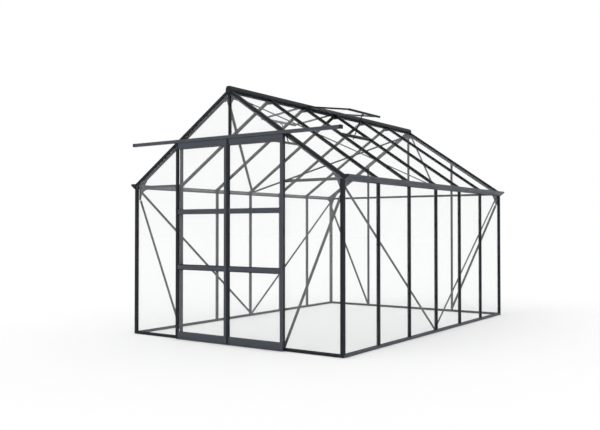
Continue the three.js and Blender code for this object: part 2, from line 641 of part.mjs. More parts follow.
makeBaseFrame();
makeCornerPosts();
for (let i = 1; i < BAYS_LONG; i += 1) {
  makeHoop(`glazing_hoop_${i}`, (i - BAYS_LONG / 2) * BAR_PITCH);
}
for (const [name, side] of SIDES) {
  makeGutter(`gutter_${name}`, side);
}
makeRidge();
for (const [name, end] of ENDS) {
  makeGableArch(`gable_arch_${name}`, end);
}

const sill = BASE_HEIGHT + GAP;
const foot = [{ width: BAR_WIDTH, out: [FLANGE_IN, EDGE_OUT - RAKE_PLATE - GAP], z: [sill, FOOT_TOP] }];
const crown = [
  { width: WEB_WIDTH, out: [-5.5, -SLOT], z: [GABLE_GLASS_PEAK - 20, BAR_TOP_LIMIT] },
  { width: WEB_WIDTH, out: [-5.5, CAP_IN], z: [GABLE_GLASS_PEAK + 1, BAR_TOP_LIMIT] },
];
for (const [name, side] of SIDES) {
  makeGableBar(`door_jamb_${name}`, -1, side * BAR_PITCH, sill, foot);
  makeGableBar(`rear_bar_${name}`, 1, side * BAR_PITCH, sill, foot);
}
makeGableBar('rear_bar_centre', 1, 0, sill, foot);
makeGableBar('front_centre_bar', -1, 0, HEAD.top + GAP, crown);
makeDoorHead();

const tieOuter = EAVES_X - POST_WIDTH - 12;
makeTie('rear_tie', 1, [-tieOuter, tieOuter]);
makeTie('front_tie_left', -1, [-tieOuter, -BAR_PITCH + 8]);
makeTie('front_tie_right', -1, [BAR_PITCH - 8, tieOuter]);
for (const [sideName, side] of SIDES) {
  for (const [endName, end] of ENDS) {
    makeGableBrace(`${endName}_brace_${sideName}`, end, side);
    makeWallBrace(`wall_brace_${sideName}_${endName}`, side, end);
    makeRoofBrace(`roof_brace_${sideName}_${endName}`, side, end * side);
  }
  makeVentSill(`vent_sill_${sideName}`, side);
}
makeGlass();
makeDoorTrack();
for (const [name, side] of SIDES) {
  makeDoor(name, side);
  makeVent(name, side);
}

// The doors and their track stand proud of the front gable, so the walls sit behind the origin
const frontFace = TRACK.front + TRACK_STOP.proud;
const model = new THREE.Group();
greenhouse.position.y = (frontFace - GUTTER_HALF_LENGTH) / 2;
model.add(greenhouse);

export default model;
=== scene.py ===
"""A walk-in greenhouse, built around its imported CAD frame.

Sizes are millimetres in the row frame: X to the right of the doors, Y towards the rear, Z up. Only the floor and the
camera are in metres. `out` is measured outward from the middle of the glass, and on a vent from its hinge.
"""

import math

import bmesh
import bpy
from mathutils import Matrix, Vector


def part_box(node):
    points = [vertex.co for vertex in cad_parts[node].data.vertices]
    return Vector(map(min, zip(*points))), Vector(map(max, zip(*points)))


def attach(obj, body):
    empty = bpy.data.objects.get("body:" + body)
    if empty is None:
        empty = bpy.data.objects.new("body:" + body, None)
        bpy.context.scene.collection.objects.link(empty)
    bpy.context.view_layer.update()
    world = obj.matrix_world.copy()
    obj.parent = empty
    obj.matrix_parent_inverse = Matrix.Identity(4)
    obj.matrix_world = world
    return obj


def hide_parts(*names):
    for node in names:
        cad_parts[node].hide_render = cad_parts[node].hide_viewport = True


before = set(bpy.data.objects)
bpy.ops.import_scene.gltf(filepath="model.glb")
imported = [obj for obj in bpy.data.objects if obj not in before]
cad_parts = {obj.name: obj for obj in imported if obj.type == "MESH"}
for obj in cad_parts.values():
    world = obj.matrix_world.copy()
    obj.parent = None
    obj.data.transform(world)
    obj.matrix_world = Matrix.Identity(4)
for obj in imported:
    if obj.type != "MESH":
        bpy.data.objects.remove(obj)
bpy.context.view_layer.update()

MM = 0.001
SEAM = 0.3  # gap between neighbouring pieces
CLEARANCE = 0.5  # wider gap, used around the bars

# ---- Glass, bars and rakes ----
ROOF_SLOPE = 0.68  # rise over run
GLASS = 3.0
SLOT = 1.8  # from the middle of a pane to the metal beside it
PANE_SETBACK = 6.0  # from a bar's centre line to the pane beside it
BAR_HALF = 10.0
WEB_HALF = 3.0
FLANGE_IN, FLANGE_OUT = -11.7, -8.0
WALL_BAR_TOP = -12.0  # where the wall bars end under the roof, as `out` of the roof
ROOF_BAR_START, ROOF_SEAL_START, ROOF_CAP_START = 3.0, 32.0, 33.0  # distances from the ridge line
CAP_OUT = 20.0  # outer face of the bars' caps
CAP_FOOT = 18.0  # how far the roof bars' caps pass the eaves, over the gutter
EDGE_OUT = 22.0  # outer face of the rakes
RAKE_LOW, RAKE_INNER_EDGE = -8.0, -30.0  # lower edges of a rake's outer and inner plates, as `out` of the roof
RAKE_PLATE = 4.0
BACK_PLATE = (-12.0, -6.0)  # faces of the rakes' inner plates
GUSSET_IN = -15.3  # inner face of the gussets
GUSSET_TOP = -28.0  # upper edge of the gussets, as `out` of the roof

# ---- Base, posts and cleats ----
BASE_RAIL_WIDTH, BASE_RAIL_WALL = 38.0, 3.0
CORNER_PLATE = {"outer": 7.0, "inner": 9.4, "start": 6.0, "reach": 90.0, "edge": 3.4}
CORNER_BOLTS = (30.0, 70.0)  # distances from the corner
GUIDE_HALF, GUIDE_HEIGHT = 640.0, 13.0
POST_FULLER = 2.0  # how far a post stands outside its CAD box
POST_LIP, POST_LIP_THICK = 6.0, 3.0
POST_GROOVE = (5.0, 6.4)  # shallow groove along each outer face, from the corner
CLEAT = {"half": 26.0, "flat": 8.0, "depth": 7.0, "reach": 9.0, "out": -12.2, "bolt": 15.0}

# ---- Ridge and gutters ----
RIDGE_SKIRT = (28.0, 32.0)  # inner and outer face of the skirt, from the ridge line
RIDGE_SKIRT_TOP = 2391.0
RIDGE_SHOULDER = [  # X and Z, from the skirt up to the groove
    (32, 2393), (27, 2405), (26.2, 2404.4), (25.4, 2406.2)]
GUTTER_BACK_TOP = 1506.0
GUTTER_THICK = 2.5

# ---- Braces ----
BRACE_WIDTH = 27.0
BRACE_THICK = 3.0
BRACE_BOLT = 4.8
BRACE_FOOT_Y, BRACE_FOOT_Z = 12.0, 36.0  # Y is from the middle of the length
GABLE_BRACE_TOP = (1213.0, 1358.0)  # X and Z
GABLE_BRACE_FOOT = 4.0  # from the gable bar's centre line
WALL_BRACE_TOP = (1831.0, 1462.0)  # Y from the middle of the length, and Z
ROOF_BRACE_TOP = (80.0, 1825.0)  # distance down the slope, and Y from the middle of the length
ROOF_BRACE_FOOT = 1470.0
ROOF_BRACE_LEG = 8.0
LEG_SETBACK = 30.0  # from a brace's bolt to the end of its leg

# ---- Doors ----
RAILS = ((3, 74), (680, 730), (1222, 1266), (1861, 1920))
STILE = 29.0
DOOR_DEPTH = 18.0
DOOR_PANE_JOINTS = (705, 1244)
BEADED_RAIL, BEAD = 2, 5  # the rail edged with dark beads, and a bead's height
HANGER_FOOT = 1890.0
TRACK_END = 18.0
TRACK_FIXINGS = (310.0, 620.0, 1000.0, 1190.0)

# ---- Vents, as distance down from the hinge and `out` ----
VENT_DROP = math.radians(8.1)
VENT_HINGE = (44.0, 2388.0)  # X and Z
VENT_HALF, VENT_TAIL, VENT_LENGTH = 322.5, 518.0, 543.0
VENT_PANE_HALF, VENT_PANE_TOP, VENT_PANE_OUT = 318.5, 24.0, -9.8
PANE_UNDER_VENT = 577.5  # top of the roof pane below a vent, down the slope
STAY_PIVOT = (500.0, -22.0)
STAY_LEAN = math.radians(90 + 23.5 - 8.1)
STAY_LENGTH = 278.0
STAY_HALF = 6.0

THETA = math.atan(ROOF_SLOPE)
COS, SIN = math.cos(THETA), math.sin(THETA)
LENGTHENING = math.hypot(1, ROOF_SLOPE)
SIDES = (("left", -1), ("right", 1))
ENDS = (("front", -1), ("rear", 1))


# ---- Places read from the frame ----
def box_mm(node):
    low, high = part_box(node)
    return low / MM, high / MM


def middle(node, axis):
    low, high = box_mm(node)
    return (low[axis] + high[axis]) / 2


WALL_X = middle("side_glass_right", 0)
GABLE_Y = {-1: middle("front_glass", 1), 1: middle("rear_glass", 1)}
BAR_Y = [middle(f"glazing_hoop_{i}", 1) for i in range(1, 6)]
GABLE_BAR_X = middle("rear_bar_right", 0)
EAVES_X = box_mm("corner_post_front_right")[1][0]
POST_INNER_X = box_mm("corner_post_front_right")[0][0]
BASE_TOP = box_mm("corner_post_front_right")[0][2]
SIDE_LOW, SIDE_HIGH = box_mm("side_glass_right")
GLASS_FOOT, GLASS_TOP = SIDE_LOW[2], SIDE_HIGH[2]
WALL_EDGES = [SIDE_LOW[1], *BAR_Y, SIDE_HIGH[1]]
ROOF_LOW, ROOF_HIGH = box_mm("roof_glass_right")
ROOF_EDGES = [ROOF_LOW[1], *BAR_Y, ROOF_HIGH[1]]
APEX_Z = ROOF_HIGH[2] + ROOF_LOW[0] * ROOF_SLOPE - GLASS / 2 * LENGTHENING
MID_Y = (GABLE_Y[-1] + GABLE_Y[1]) / 2
VENT_Y = middle("right_vent_frame", 1)


def roof_z(x, out):
    return APEX_Z - ROOF_SLOPE * abs(x) + out * LENGTHENING


# ---- Materials ----
def node(tree, kind, at, **values):
    made = tree.nodes.new(kind)
    made.location = at
    for name, value in values.items():
        if name in made.inputs:
            made.inputs[name].default_value = value
        else:
            setattr(made, name, value)
    return made


def ramp(tree, source, at, low, high, start=0.3, end=0.7):
    made = tree.nodes.new("ShaderNodeValToRGB")
    made.location = at
    made.color_ramp.elements[0].position = start
    made.color_ramp.elements[1].position = end
    made.color_ramp.elements[0].color = (*low, 1)
    made.color_ramp.elements[1].color = (*high, 1)
    tree.links.new(source, made.inputs["Fac"])
    return made


def surface(name, dark, light, rough, speckle, bump, worn=None, metal=0.0, shine=0.3):
    """A procedural finish: broad colour variation, fine speckle in its roughness and bump, and paler worn edges."""
    material = bpy.data.materials.new(name)
    material.use_nodes = True
    tree = material.node_tree
    shader = tree.nodes["Principled BSDF"]
    shader.inputs["Metallic"].default_value = metal
    shader.inputs["Specular IOR Level"].default_value = shine
    place = node(tree, "ShaderNodeTexCoord", (-1200, 0)).outputs["Object"]
    broad = node(tree, "ShaderNodeTexNoise", (-800, 200), Scale=7.0, Detail=3.0)
    fine = node(tree, "ShaderNodeTexNoise", (-800, -100), Scale=speckle, Detail=2.0)
    for texture in (broad, fine):
        tree.links.new(place, texture.inputs["Vector"])
    colour = ramp(tree, broad.outputs["Fac"], (-560, 200), dark, light).outputs["Color"]
    if worn:
        edge = node(tree, "ShaderNodeAttribute", (-800, 500), attribute_name="wear")
        patch = node(tree, "ShaderNodeTexNoise", (-800, 700), Scale=60.0, Detail=4.0)
        tree.links.new(place, patch.inputs["Vector"])
        amount = node(tree, "ShaderNodeMath", (-560, 560), operation="MULTIPLY")
        tree.links.new(edge.outputs["Fac"], amount.inputs[0])
        tree.links.new(patch.outputs["Fac"], amount.inputs[1])
        mix = node(tree, "ShaderNodeMix", (-320, 300), data_type="RGBA")
        tree.links.new(amount.outputs[0], mix.inputs["Factor"])
        tree.links.new(colour, mix.inputs["A"])
        mix.inputs["B"].default_value = (*worn, 1)
        colour = mix.outputs["Result"]
    tree.links.new(colour, shader.inputs["Base Color"])
    spread = node(tree, "ShaderNodeMapRange", (-560, -60))
    spread.inputs["To Min"].default_value = rough[0]
    spread.inputs["To Max"].default_value = rough[1]
    tree.links.new(fine.outputs["Fac"], spread.inputs["Value"])
    tree.links.new(spread.outputs["Result"], shader.inputs["Roughness"])
    relief = node(tree, "ShaderNodeBump", (-320, -200), Strength=bump, Distance=0.0004)
    tree.links.new(fine.outputs["Fac"], relief.inputs["Height"])
    tree.links.new(relief.outputs["Normal"], shader.inputs["Normal"])
    return material


def clear_glass():
    """Float glass: a faint cool film over what is behind it, with a little uneven dust in its gloss."""
    material = bpy.data.materials.new("clear_glass")
    material.use_nodes = True
    tree = material.node_tree
    shader = tree.nodes["Principled BSDF"]
    place = node(tree, "ShaderNodeTexCoord", (-900, 0)).outputs["Object"]
    haze = node(tree, "ShaderNodeTexNoise", (-700, 0), Scale=3.0, Detail=3.0)
    tree.links.new(place, haze.inputs["Vector"])
    tint = ramp(tree, haze.outputs["Fac"], (-460, 120), (0.80, 0.83, 0.83), (0.86, 0.89, 0.89))
    tree.links.new(tint.outputs["Color"], shader.inputs["Base Color"])
    spread = node(tree, "ShaderNodeMapRange", (-460, -120))
    spread.inputs["To Min"].default_value = 0.03
    spread.inputs["To Max"].default_value = 0.12
    tree.links.new(haze.outputs["Fac"], spread.inputs["Value"])
    tree.links.new(spread.outputs["Result"], shader.inputs["Roughness"])
    shader.inputs["Alpha"].default_value = 0.06
    return material


LOOKS = {
    # The frame coat also stands as painted shade on the left stile of each door leaf, and in part on the beads of the
    # beaded door rail.
    "frame": ("frame_coat", surface(
        "anthracite_coat_and_painted_shade", dark=(0.011, 0.013, 0.016), light=(0.015, 0.018, 0.022), rough=(0.42, 0.58),
        speckle=900.0, bump=0.10, worn=(0.038, 0.042, 0.048), shine=0.13)),
    # A lighter copy of the frame coat: painted light on the wall bars' caps, whose outer faces are lit.
    "cap": ("frame_coat", surface(
        "painted_lit_cap_coat", dark=(0.013, 0.015, 0.018), light=(0.018, 0.021, 0.025), rough=(0.40, 0.56),
        speckle=900.0, bump=0.10, worn=(0.05, 0.054, 0.06), shine=0.16)),
    # The doors' grey-blue coat. It also stands as painted light on the side base rails, gutters, gussets and inner
    # rakes, making them lighter than the frame coat.
    "door": ("frame_coat", surface(
        "door_coat_and_painted_light", dark=(0.040, 0.047, 0.059), light=(0.047, 0.055, 0.068), rough=(0.36, 0.52),
        speckle=900.0, bump=0.10, worn=(0.09, 0.10, 0.115), shine=0.28)),
    "brace": ("brace_coat", surface(
        "brace_coat", dark=(0.020, 0.022, 0.024), light=(0.028, 0.030, 0.033), rough=(0.4, 0.55),
        speckle=700.0, bump=0.12, worn=(0.08, 0.085, 0.09), shine=0.25)),
    "dark_brace": ("brace_coat", surface(
        "dark_brace_coat", dark=(0.009, 0.010, 0.011), light=(0.013, 0.014, 0.016), rough=(0.45, 0.6),
        speckle=700.0, bump=0.12, worn=(0.03, 0.033, 0.036), shine=0.12)),
    "rubber": ("seal_rubber", surface(
        "seal_rubber", dark=(0.010, 0.010, 0.011), light=(0.016, 0.016, 0.017), rough=(0.75, 0.9),
        speckle=500.0, bump=0.2, shine=0.15)),
    "steel": ("fastener_steel", surface(
        "zinc_plate", dark=(0.13, 0.135, 0.14), light=(0.18, 0.185, 0.19), rough=(0.30, 0.44),
        speckle=1200.0, bump=0.08, metal=0.9)),
    "nylon": ("nylon", surface(
        "black_nylon", dark=(0.012, 0.012, 0.013), light=(0.02, 0.02, 0.022), rough=(0.5, 0.65),
        speckle=800.0, bump=0.15)),
    "glass": ("glass", clear_glass()),
}


# ---- Mesh building ----
def rounded(points, radius, steps=2):
    """The outline with every corner turned in short chords. Each point says which corner it came from."""
    made = []
    count = len(points)
    for i, corner in enumerate(points):
        here = Vector(corner)
        before = Vector(points[i - 1]) - here
        after = Vector(points[(i + 1) % count]) - here
        cut = min(radius, 0.45 * before.length, 0.45 * after.length)
        start = here + before.normalized() * cut
        end = here + after.normalized() * cut
        for k in range(steps + 1):
            t = k / steps
            made.append(((1 - t) ** 2 * start + 2 * t * (1 - t) * here + t * t * end, i))
    return made


def shrunk(outline, amount):
    """The outline moved inward by a small amount."""
    count = len(outline)
    area = sum(
        outline[i][0] * outline[(i + 1) % count][1] - outline[(i + 1) % count][0] * outline[i][1]
        for i in range(count))
    turn = 1 if area > 0 else -1
    made = []
    for i, here in enumerate(outline):
        edges = (here - outline[i - 1], outline[(i + 1) % count] - here)
        normal = sum((Vector((-e.y, e.x)).normalized() for e in edges), Vector((0, 0))) * turn
        made.append(here + normal.normalized() * amount)
    return made


class Piece:
    """One visible piece, gathered from closed shells and made into a mesh object that rides on a body."""

    def __init__(self, name, look, body="root"):
        self.name, self.look, self.body = name, look, body
        self.points, self.faces, self.wear = [], [], []

    def extrude(self, outline, put, start, end, radius=0.6, chamfer=0.4):
        """A prism of an outline, from start to end along the third axis of `put`, its edges eased."""
        eased = rounded(outline, radius)
        full = [p for p, _ in eased]
        small = shrunk(full, chamfer)
        first = len(self.points)
        count = len(full)
        at_start = start if callable(start) else lambda a, b: start
        at_end = end if callable(end) else lambda a, b: end
        rings = ((small, at_start, 0), (full, at_start, chamfer), (full, at_end, -chamfer), (small, at_end, 0))
        for ring, where, shift in rings:
            self.points += [put(p[0], p[1], where(p[0], p[1]) + shift) for p in ring]
        for ring in range(3):
            for i in range(count):
                j = (i + 1) % count
                low, high = first + ring * count, first + (ring + 1) * count
                self.faces.append((low + i, low + j, high + j, high + i))
                corner = eased[i][1] == eased[j][1]
                self.wear.append(1.0 if ring != 1 or corner else 0.0)
        self.faces.append(tuple(first + i for i in range(count)))
        self.faces.append(tuple(first + 3 * count + i for i in range(count)))
        self.wear += [0.0, 0.0]
        return self

    def block(self, x, y, z, radius=0.6, chamfer=0.4):
        """A box with eased edges, run along its longest side."""
        spans = [tuple(sorted(s)) for s in (x, y, z)]
        run = max(range(3), key=lambda i: spans[i][1] - spans[i][0])
        first, second = [i for i in range(3) if i != run]
        (a0, a1), (b0, b1) = spans[first], spans[second]

        def put(a, b, s):
            point = [0, 0, 0]
            point[first], point[second], point[run] = a, b, s
            return Vector(point)

        return self.extrude([(a0, b0), (a1, b0), (a1, b1), (a0, b1)], put, *spans[run], radius, chamfer)

    def turn(self, profile, origin, axis, segments=24):
        """A turned shape. The profile is (radius, height) pairs from one end of the axis to the other."""
        axis = Vector(axis).normalized()
        side = axis.orthogonal().normalized()
        other = axis.cross(side)
        first = len(self.points)
        closed = profile[0][0] > 0 and profile[0] == profile[-1]
        rows = profile[:-1] if closed else profile
        for radius, height in rows:
            for k in range(segments):
                angle = 2 * math.pi * k / segments
                spoke = side * math.cos(angle) + other * math.sin(angle)
                self.points.append(Vector(origin) + axis * height + spoke * radius)
        count = len(rows)
        for row in range(count if closed else count - 1):
            following = (row + 1) % count
            for k in range(segments):
                j = (k + 1) % segments
                self.faces.append((
                    first + row * segments + k, first + row * segments + j,
                    first + following * segments + j, first + following * segments + k))
                self.wear.append(0.0)
        if not closed:
            self.faces.append(tuple(first + k for k in range(segments)))
            self.faces.append(tuple(first + (count - 1) * segments + k for k in range(segments)))
            self.wear += [0.0, 0.0]
        return self

    def bolt(self, origin, axis, size=6.0, seated=0.0):
        """A hexagon bolt head on its washer. The washer lies on the surface at `origin`."""
        start = Vector(origin) + Vector(axis).normalized() * seated
        half = size * 0.92
        self.turn([(size * 1.1, 0), (size * 1.15, 0.3), (size * 1.15, 1.1), (size * 1.05, 1.4)], start, axis, 20)
        self.turn([(half, 1.4), (half, 3.9), (half * 0.86, 4.6)], start, axis, 6)
        return self

    def make(self, *replaced):
        mesh = bpy.data.meshes.new(self.name)
        mesh.from_pydata([tuple(p * MM) for p in self.points], [], self.faces)
        mesh.attributes.new("wear", "FLOAT", "FACE").data.foreach_set("value", self.wear)
        shape = bmesh.new()
        shape.from_mesh(mesh)
        bmesh.ops.recalc_face_normals(shape, faces=shape.faces)
        shape.to_mesh(mesh)
        shape.free()
        for polygon in mesh.polygons:
            polygon.use_smooth = True
        mesh.set_sharp_from_angle(angle=math.radians(38))
        slot, material = LOOKS[self.look]
        mesh.materials.append(material)
        made = bpy.data.objects.new(self.name, mesh)
        bpy.context.scene.collection.objects.link(made)
        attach(made, self.body)
        if replaced:
            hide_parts(*replaced)
        return made


def basis(origin, u, v, w):
    """Places (a, b, s) at origin + a u + b v + s w."""
    origin, u, v, w = Vector(origin), Vector(u), Vector(v), Vector(w)
    return lambda a, b, s: origin + u * a + v * b + w * s


def rectangle(a0, a1, b0, b1):
    return [(a0, b0), (a1, b0), (a1, b1), (a0, b1)]


def curve(start, control, end, steps=10):
    """Points of a quadratic curve, without its first point."""
    points = []
    for k in range(1, steps + 1):
        t = k / steps
        points.append(tuple(
            (1 - t) ** 2 * start[i] + 2 * t * (1 - t) * control[i] + t * t * end[i] for i in range(2)))
    return points


def bays(edges, setback, end_setback=0.0):
    """The start and end of each bay, set back from the bars between the bays and from the two ends."""
    last = len(edges) - 2
    return [
        (edges[k] + (setback if k else end_setback), edges[k + 1] - (setback if k < last else end_setback))
        for k in range(last + 1)]


def round_ended(start, end, along, half):
    """The outline of a strip from start to end, with half-round ends."""
    across = Vector((-along.y, along.x))
    outline = []
    for centre, facing in ((start, -1), (end, 1)):
        for k in range(9):
            angle = math.pi * (k / 8 - 0.5)
            local = along * math.cos(angle) * facing * half + across * math.sin(angle) * facing * half
            outline.append(tuple(centre + local))
    return outline


# ---- Sections, as (out, across) ----
BAR = [
    (FLANGE_IN, -BAR_HALF), (FLANGE_IN, -4), (FLANGE_IN + 1.4, -4), (FLANGE_IN + 1.4, 4), (FLANGE_IN, 4),
    (FLANGE_IN, BAR_HALF), (FLANGE_OUT, BAR_HALF), (FLANGE_OUT, WEB_HALF), (14.5, WEB_HALF), (14.5, -WEB_HALF),
    (FLANGE_OUT, -WEB_HALF), (FLANGE_OUT, -BAR_HALF)]
CAP = [
    (5, -BAR_HALF), (5, -8.4), (15, -8.4), (15, 8.4), (5, 8.4), (5, BAR_HALF), (18.4, BAR_HALF),
    (CAP_OUT, 8), (CAP_OUT, -8), (18.4, -BAR_HALF)]
GABLE_CAP = [(out if out < 17 else out - 2.4, across) for out, across in CAP]  # shallower than the walls' caps
SEALS = [rectangle(low, high, s * 6.4, s * 9.7) for s in (-1, 1) for low, high in ((-7.7, -1.6), (1.6, 4.7))]
VENT_SILL = [(552, -12), (555, -12), (555, 21), (573, 21), (573, 19), (575, 19), (575, 24), (552, 24)]
STAY_PEG = [(1.4, 0), (1.4, 9), (1.8, 9.4), (1.8, 11), (1.2, 12)]  # radius and height
GLAZING_CHANNEL = [(-6, 0), (6, 0), (6, 4), (2, 4), (2, 1.6), (-2, 1.6), (-2, 4), (-6, 4)]


def slope_basis(side, y):
    """Section (out, along Y) carried down one roof slope from the apex."""
    return basis((0, y, APEX_Z), (side * SIN, 0, COS), (0, 1, 0), (side * COS, 0, -SIN))


def plumb(x):
    """Where a section meets the upright plane at distance x from the ridge line."""
    return lambda out, across: (x - out * SIN) / COS


def wall_basis(side, y):
    return basis((side * WALL_X, y, 0), (side, 0, 0), (0, 1, 0), (0, 0, 1))


def gable_basis(end, x):
    return basis((x, GABLE_Y[end], 0), (0, end, 0), (1, 0, 0), (0, 0, 1))


def build_base():
    low, high = box_mm("base_frame")
    x, y0, y1 = high[0], MID_Y - (high[1] - MID_Y), high[1]
    width, wall, top = BASE_RAIL_WIDTH, BASE_RAIL_WALL, BASE_TOP - SEAM
    channel = [
        (0, 0), (width, 0), (width, wall), (wall, wall), (wall, top - wall), (width, top - wall),
        (width, top), (0, top)]
    # The side rails take the lighter door coat as painted light; the front and rear rails keep the frame coat.
    for name, side in SIDES:
        put = basis((side * x, 0, 0), (-side, 0, 0), (0, 0, 1), (0, 1, 0))
        Piece(f"base_rail_{name}", "door").extrude(
            channel, put, lambda a, b: y0 + a, lambda a, b: y1 - a).make(*(["base_frame"] if side < 0 else []))
    for name, end in ENDS:
        put = basis((0, y0 if end < 0 else y1, 0), (0, -end, 0), (0, 0, 1), (1, 0, 0))
        Piece(f"base_rail_{name}", "frame").extrude(
            channel, put, lambda a, b: a - x, lambda a, b: x - a).make()
    corners = Piece("base_corner_plates", "frame")
    fixings = Piece("base_fixings", "steel")
    outer, inner, start, reach, edge_z = CORNER_PLATE.values()
    plate_z = (edge_z, top - edge_z)
    for side in (-1, 1):
        for edge in (y0, y1):
            inward = 1 if edge == y0 else -1
            corners.block(
                (side * (x - outer), side * (x - inner)), (edge + inward * start, edge + inward * reach), plate_z)
            corners.block(
                (side * (x - start), side * (x - reach)), (edge + inward * outer, edge + inward * inner), plate_z)
            for along in CORNER_BOLTS:
                fixings.bolt((side * (x - inner), edge + inward * along, top / 2), (-side, 0, 0), size=3.4)
                fixings.bolt((side * (x - along), edge + inward * inner, top / 2), (0, inward, 0), size=3.4)
    corners.make()
    fixings.make()
    guide = Piece("door_guide_rail", "frame")
    span = (-GUIDE_HALF, GUIDE_HALF)
    guide.block(span, (low[1], low[1] + 3), (0.2, GUIDE_HEIGHT), radius=0.5, chamfer=0.3)
    guide.block(span, (low[1] + 2.6, y0 + 1), (0.2, 2.2), radius=0.4, chamfer=0.3)
    guide.make()


def build_posts():
    near, far = POST_GROOVE
    depth = EAVES_X + POST_FULLER - POST_INNER_X
    section = [
        (0, 0), (near, 0), (near, 1), (far, 1), (far, 0), (depth + POST_LIP, 0), (depth + POST_LIP, POST_LIP_THICK),
        (depth, POST_LIP_THICK), (depth, depth), (0, depth), (0, far), (1, far), (1, near), (0, near)]
    for end_name, end in ENDS:
        for name, side in SIDES:
            node_name = f"corner_post_{end_name}_{name}"
            low, high = box_mm(node_name)
            outer_y = high[1] if end > 0 else low[1]
            corner = (side * (EAVES_X + POST_FULLER), outer_y + end * POST_FULLER, 0)
            put = basis(corner, (-side, 0, 0), (0, -end, 0), (0, 0, 1))
            Piece(node_name + "_tube", "frame").extrude(section, put, low[2], high[2], radius=1.6).make(node_name)


def build_bars():
    seals = {name: Piece(f"wall_bar_seals_{name}", "rubber") for name, _ in SIDES}
    roof_seals = {name: Piece(f"roof_bar_seals_{name}", "rubber") for name, _ in SIDES}
    cleats = Piece("ridge_cleats", "frame")
    bolts = Piece("ridge_cleat_bolts", "steel")
    top = lambda a, b: roof_z(WALL_X + a, WALL_BAR_TOP)
    start, end = plumb(ROOF_BAR_START), plumb(EAVES_X)
    half, flat, depth, reach, out, bolt_x = CLEAT.values()
    edge, peak = roof_z(half, out), roof_z(flat, out)
    cleat = [(-half, edge), (-flat, peak), (flat, peak), (half, edge), (half, edge - depth), (-half, edge - depth)]
    for i, y in enumerate(BAR_Y, 1):
        for name, side in SIDES:
            put = wall_basis(side, y)
            Piece(f"wall_bar_{name}_{i}", "frame").extrude(BAR, put, BASE_TOP, top).make(
                *([f"glazing_hoop_{i}"] if side < 0 else []))
            # The wall bars' caps take the lighter cap coat, painted light on their outer faces.
            Piece(f"wall_bar_cap_{name}_{i}", "cap").extrude(CAP, put, BASE_TOP + 1, top).make()
            for seal in SEALS:
                seals[name].extrude(seal, put, GLASS_FOOT + 1, GLASS_TOP - 1, radius=0.8, chamfer=0.3)
            put = slope_basis(side, y)
            Piece(f"roof_bar_{name}_{i}", "frame").extrude(BAR, put, start, end).make()
            Piece(f"roof_bar_cap_{name}_{i}", "frame").extrude(
                CAP, put, plumb(ROOF_CAP_START), plumb(EAVES_X + CAP_FOOT)).make()
            for seal in SEALS:
                roof_seals[name].extrude(seal, put, plumb(ROOF_SEAL_START), end, radius=0.8, chamfer=0.3)
        put = basis((0, y, 0), (1, 0, 0), (0, 0, 1), (0, 1, 0))
        cleats.extrude(cleat, put, -reach, reach, radius=1.5)
        for x in (-bolt_x, bolt_x):
            for face in (-1, 1):
                bolts.bolt((x, y + face * reach, edge), (0, face, 0), size=3.2)
    for piece in (*seals.values(), *roof_seals.values(), cleats, bolts):
        piece.make()


def build_ridge():
    low, high = box_mm("ridge_beam")
    under = lambda x: roof_z(x, CAP_OUT + CLEARANCE)
    bottom, top = low[2], high[2]
    inner, outer = RIDGE_SKIRT
    right = [
        (2.5, bottom), (2.5, top - 4), (17.6, top - 4), (inner, RIDGE_SKIRT_TOP), (inner, under(inner)),
        (outer, under(outer)), *RIDGE_SHOULDER, (20, top)]
    outline = right + [(-x, z) for x, z in reversed(right)]
    put = basis((0, 0, 0), (1, 0, 0), (0, 0, 1), (0, 1, 0))
    Piece("ridge_beam_section", "frame").extrude(outline, put, low[1], high[1], radius=0.8).make("ridge_beam")
    shoulder_z = RIDGE_SHOULDER[0][1]
    cap = [(-31, bottom + 4), (-outer, shoulder_z), (-20, top), (20, top), (outer, shoulder_z), (31, bottom + 4),
           (25, bottom), (-25, bottom)]
    for name, end in ENDS:
        edge = low[1] if end < 0 else high[1]
        face = basis((0, edge, 0), (1, 0, 0), (0, 0, 1), (0, end, 0))
        Piece(f"ridge_end_cap_{name}", "frame").extrude(cap, face, SEAM, 6, radius=2.5, chamfer=1.0).make()


def build_gutters():
    thick = GUTTER_THICK
    for name, side in SIDES:
        low, high = box_mm(f"gutter_{name}")
        back = min(abs(low[0]), abs(high[0]))
        lip = max(abs(low[0]), abs(high[0]))
        bottom, top = low[2], high[2]
        outline = [
            (back, bottom), (back + 4, bottom), (lip, top - 14), (lip, top), (lip - 4.5, top),
            (lip - 4.5, top - 2.4), (lip - thick, top - 2.4), (lip - thick, top - 12.6),
            (back + thick, bottom + thick), (back + thick, GUTTER_BACK_TOP), (back, GUTTER_BACK_TOP)]
        put = basis((0, 0, 0), (side, 0, 0), (0, 0, 1), (0, 1, 0))
        # The gutter takes the lighter door coat as painted light.
        Piece(f"gutter_{name}_section", "door").extrude(
            outline, put, low[1], high[1], radius=0.8).make(f"gutter_{name}")
        cap = [(back - 3, bottom - 2), (back + 5, bottom - 2), (lip, top - 16), (lip, top + 1), (back - 3, top + 1)]
        for end_name, end in ENDS:
            edge = low[1] if end < 0 else high[1]
            face = basis((0, edge, 0), (side, 0, 0), (0, 0, 1), (0, end, 0))
            Piece(f"gutter_end_{name}_{end_name}", "frame").extrude(
                cap, face, SEAM, 4, radius=1.5, chamfer=0.8).make()
        channel = Piece(f"eaves_glazing_channel_{name}", "frame")
        sill = Piece(f"wall_sill_channel_{name}", "frame")
        low_put = basis((side * WALL_X, 0, BASE_TOP), (side, 0, 0), (0, 0, 1), (0, 1, 0))
        top_put = basis((side * WALL_X, 0, GLASS_TOP + 3), (side, 0, 0), (0, 0, -1), (0, 1, 0))
        for y0, y1 in bays(WALL_EDGES, BAR_HALF + CLEARANCE, CLEARANCE):
            sill.extrude(GLAZING_CHANNEL, low_put, y0, y1, radius=0.5, chamfer=0.3)
            channel.extrude(GLAZING_CHANNEL, top_put, y0, y1, radius=0.5, chamfer=0.3)
        sill.make()
        channel.make()


